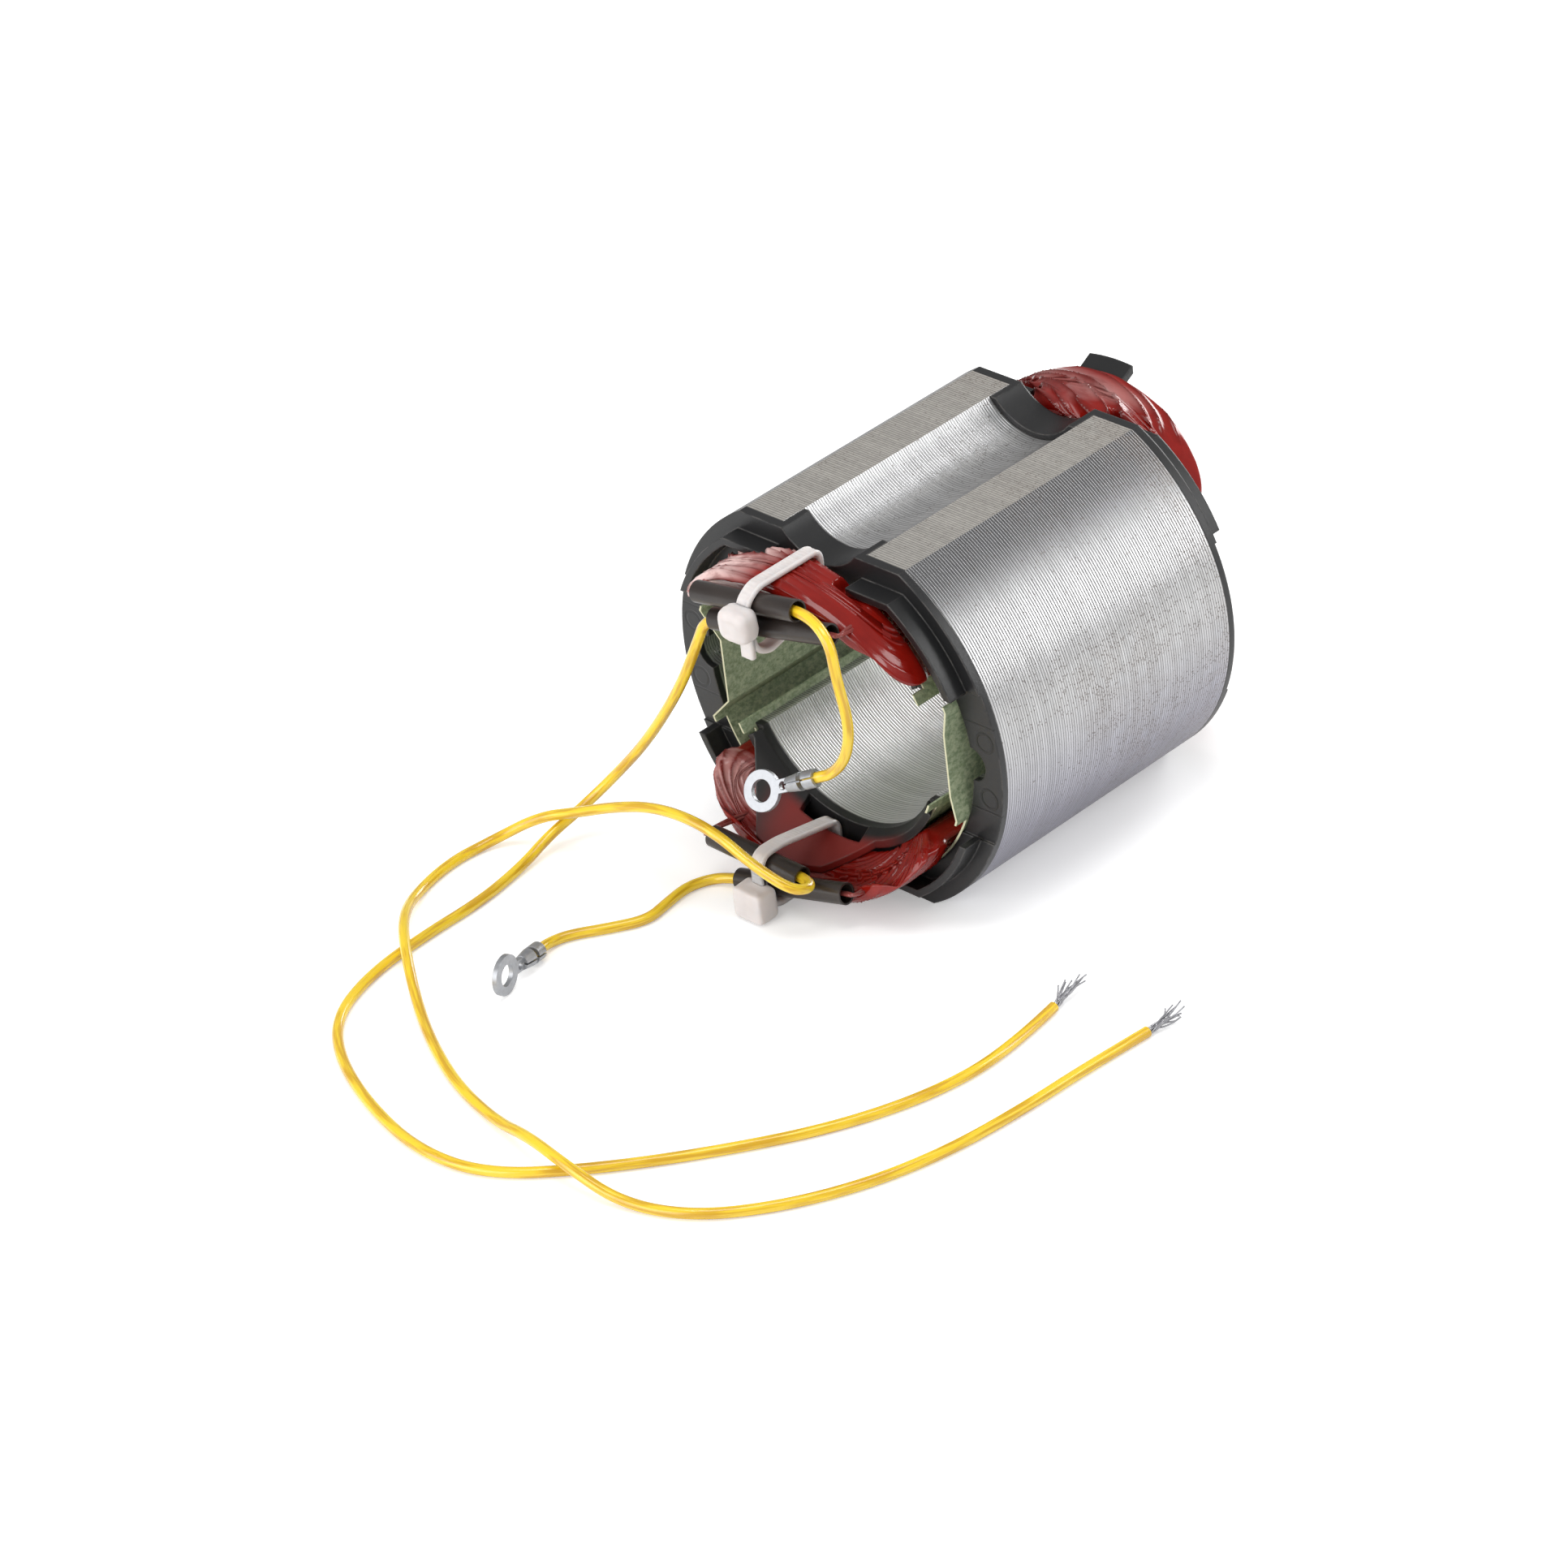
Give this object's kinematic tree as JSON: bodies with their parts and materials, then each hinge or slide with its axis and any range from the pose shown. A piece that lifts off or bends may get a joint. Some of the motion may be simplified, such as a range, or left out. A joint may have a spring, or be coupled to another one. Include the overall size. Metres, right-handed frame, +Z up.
{
  "type": "wound stator",
  "caption": "Wound stator of a small universal motor: flatted steel sheet stack, varnished field coils between black end plates, and yellow leads tied to the near end.",
  "frame": {"origin": "on the bore's axis at the middle of the sheet stack", "axes": "X across, Y along the bore with the lead end at -Y, Z up from the lower flat to the upper flat"},
  "size_m": [0.122, 0.1589, 0.0582],
  "materials": {
    "sheet_steel": "bare punched electrical sheet, fine ribbing of the stack's edges",
    "plate_plastic": "satin black moulded plastic",
    "coil_varnish": "deep red varnish over copper wire",
    "slot_paper": "sage green insulating paper",
    "sleeve_plastic": "dark brown-black tubing, slightly shiny",
    "joint_metal": "crimped joint, hidden",
    "tie_nylon": "translucent white nylon",
    "lead_insulation": "glossy yellow insulation",
    "tin_plate": "bright tin plate",
    "tinned_strand": "tinned copper strands"
  },
  "bodies": {
    "root": {"lamination_stack": "sheet_steel", "near_end_plate": "plate_plastic", "far_end_plate": "plate_plastic", "upper_coil": "coil_varnish", "lower_coil": "coil_varnish", "left_slot_liner": "slot_paper", "right_slot_liner": "slot_paper", "upper_tie": "tie_nylon", "lower_tie": "tie_nylon", "sleeve_a": "sleeve_plastic", "splice_a": "joint_metal", "lead_a": "lead_insulation", "sleeve_b": "sleeve_plastic", "splice_b": "joint_metal", "lead_b": "lead_insulation", "sleeve_c": "sleeve_plastic", "splice_c": "joint_metal", "lead_c": "lead_insulation", "sleeve_d": "sleeve_plastic", "splice_d": "joint_metal", "lead_d": "lead_insulation", "ring_terminal_a": "tin_plate", "ring_terminal_d": "tin_plate", "strand_end_b": "tinned_strand", "strand_end_c": "tinned_strand"}
  },
  "joints": []
}
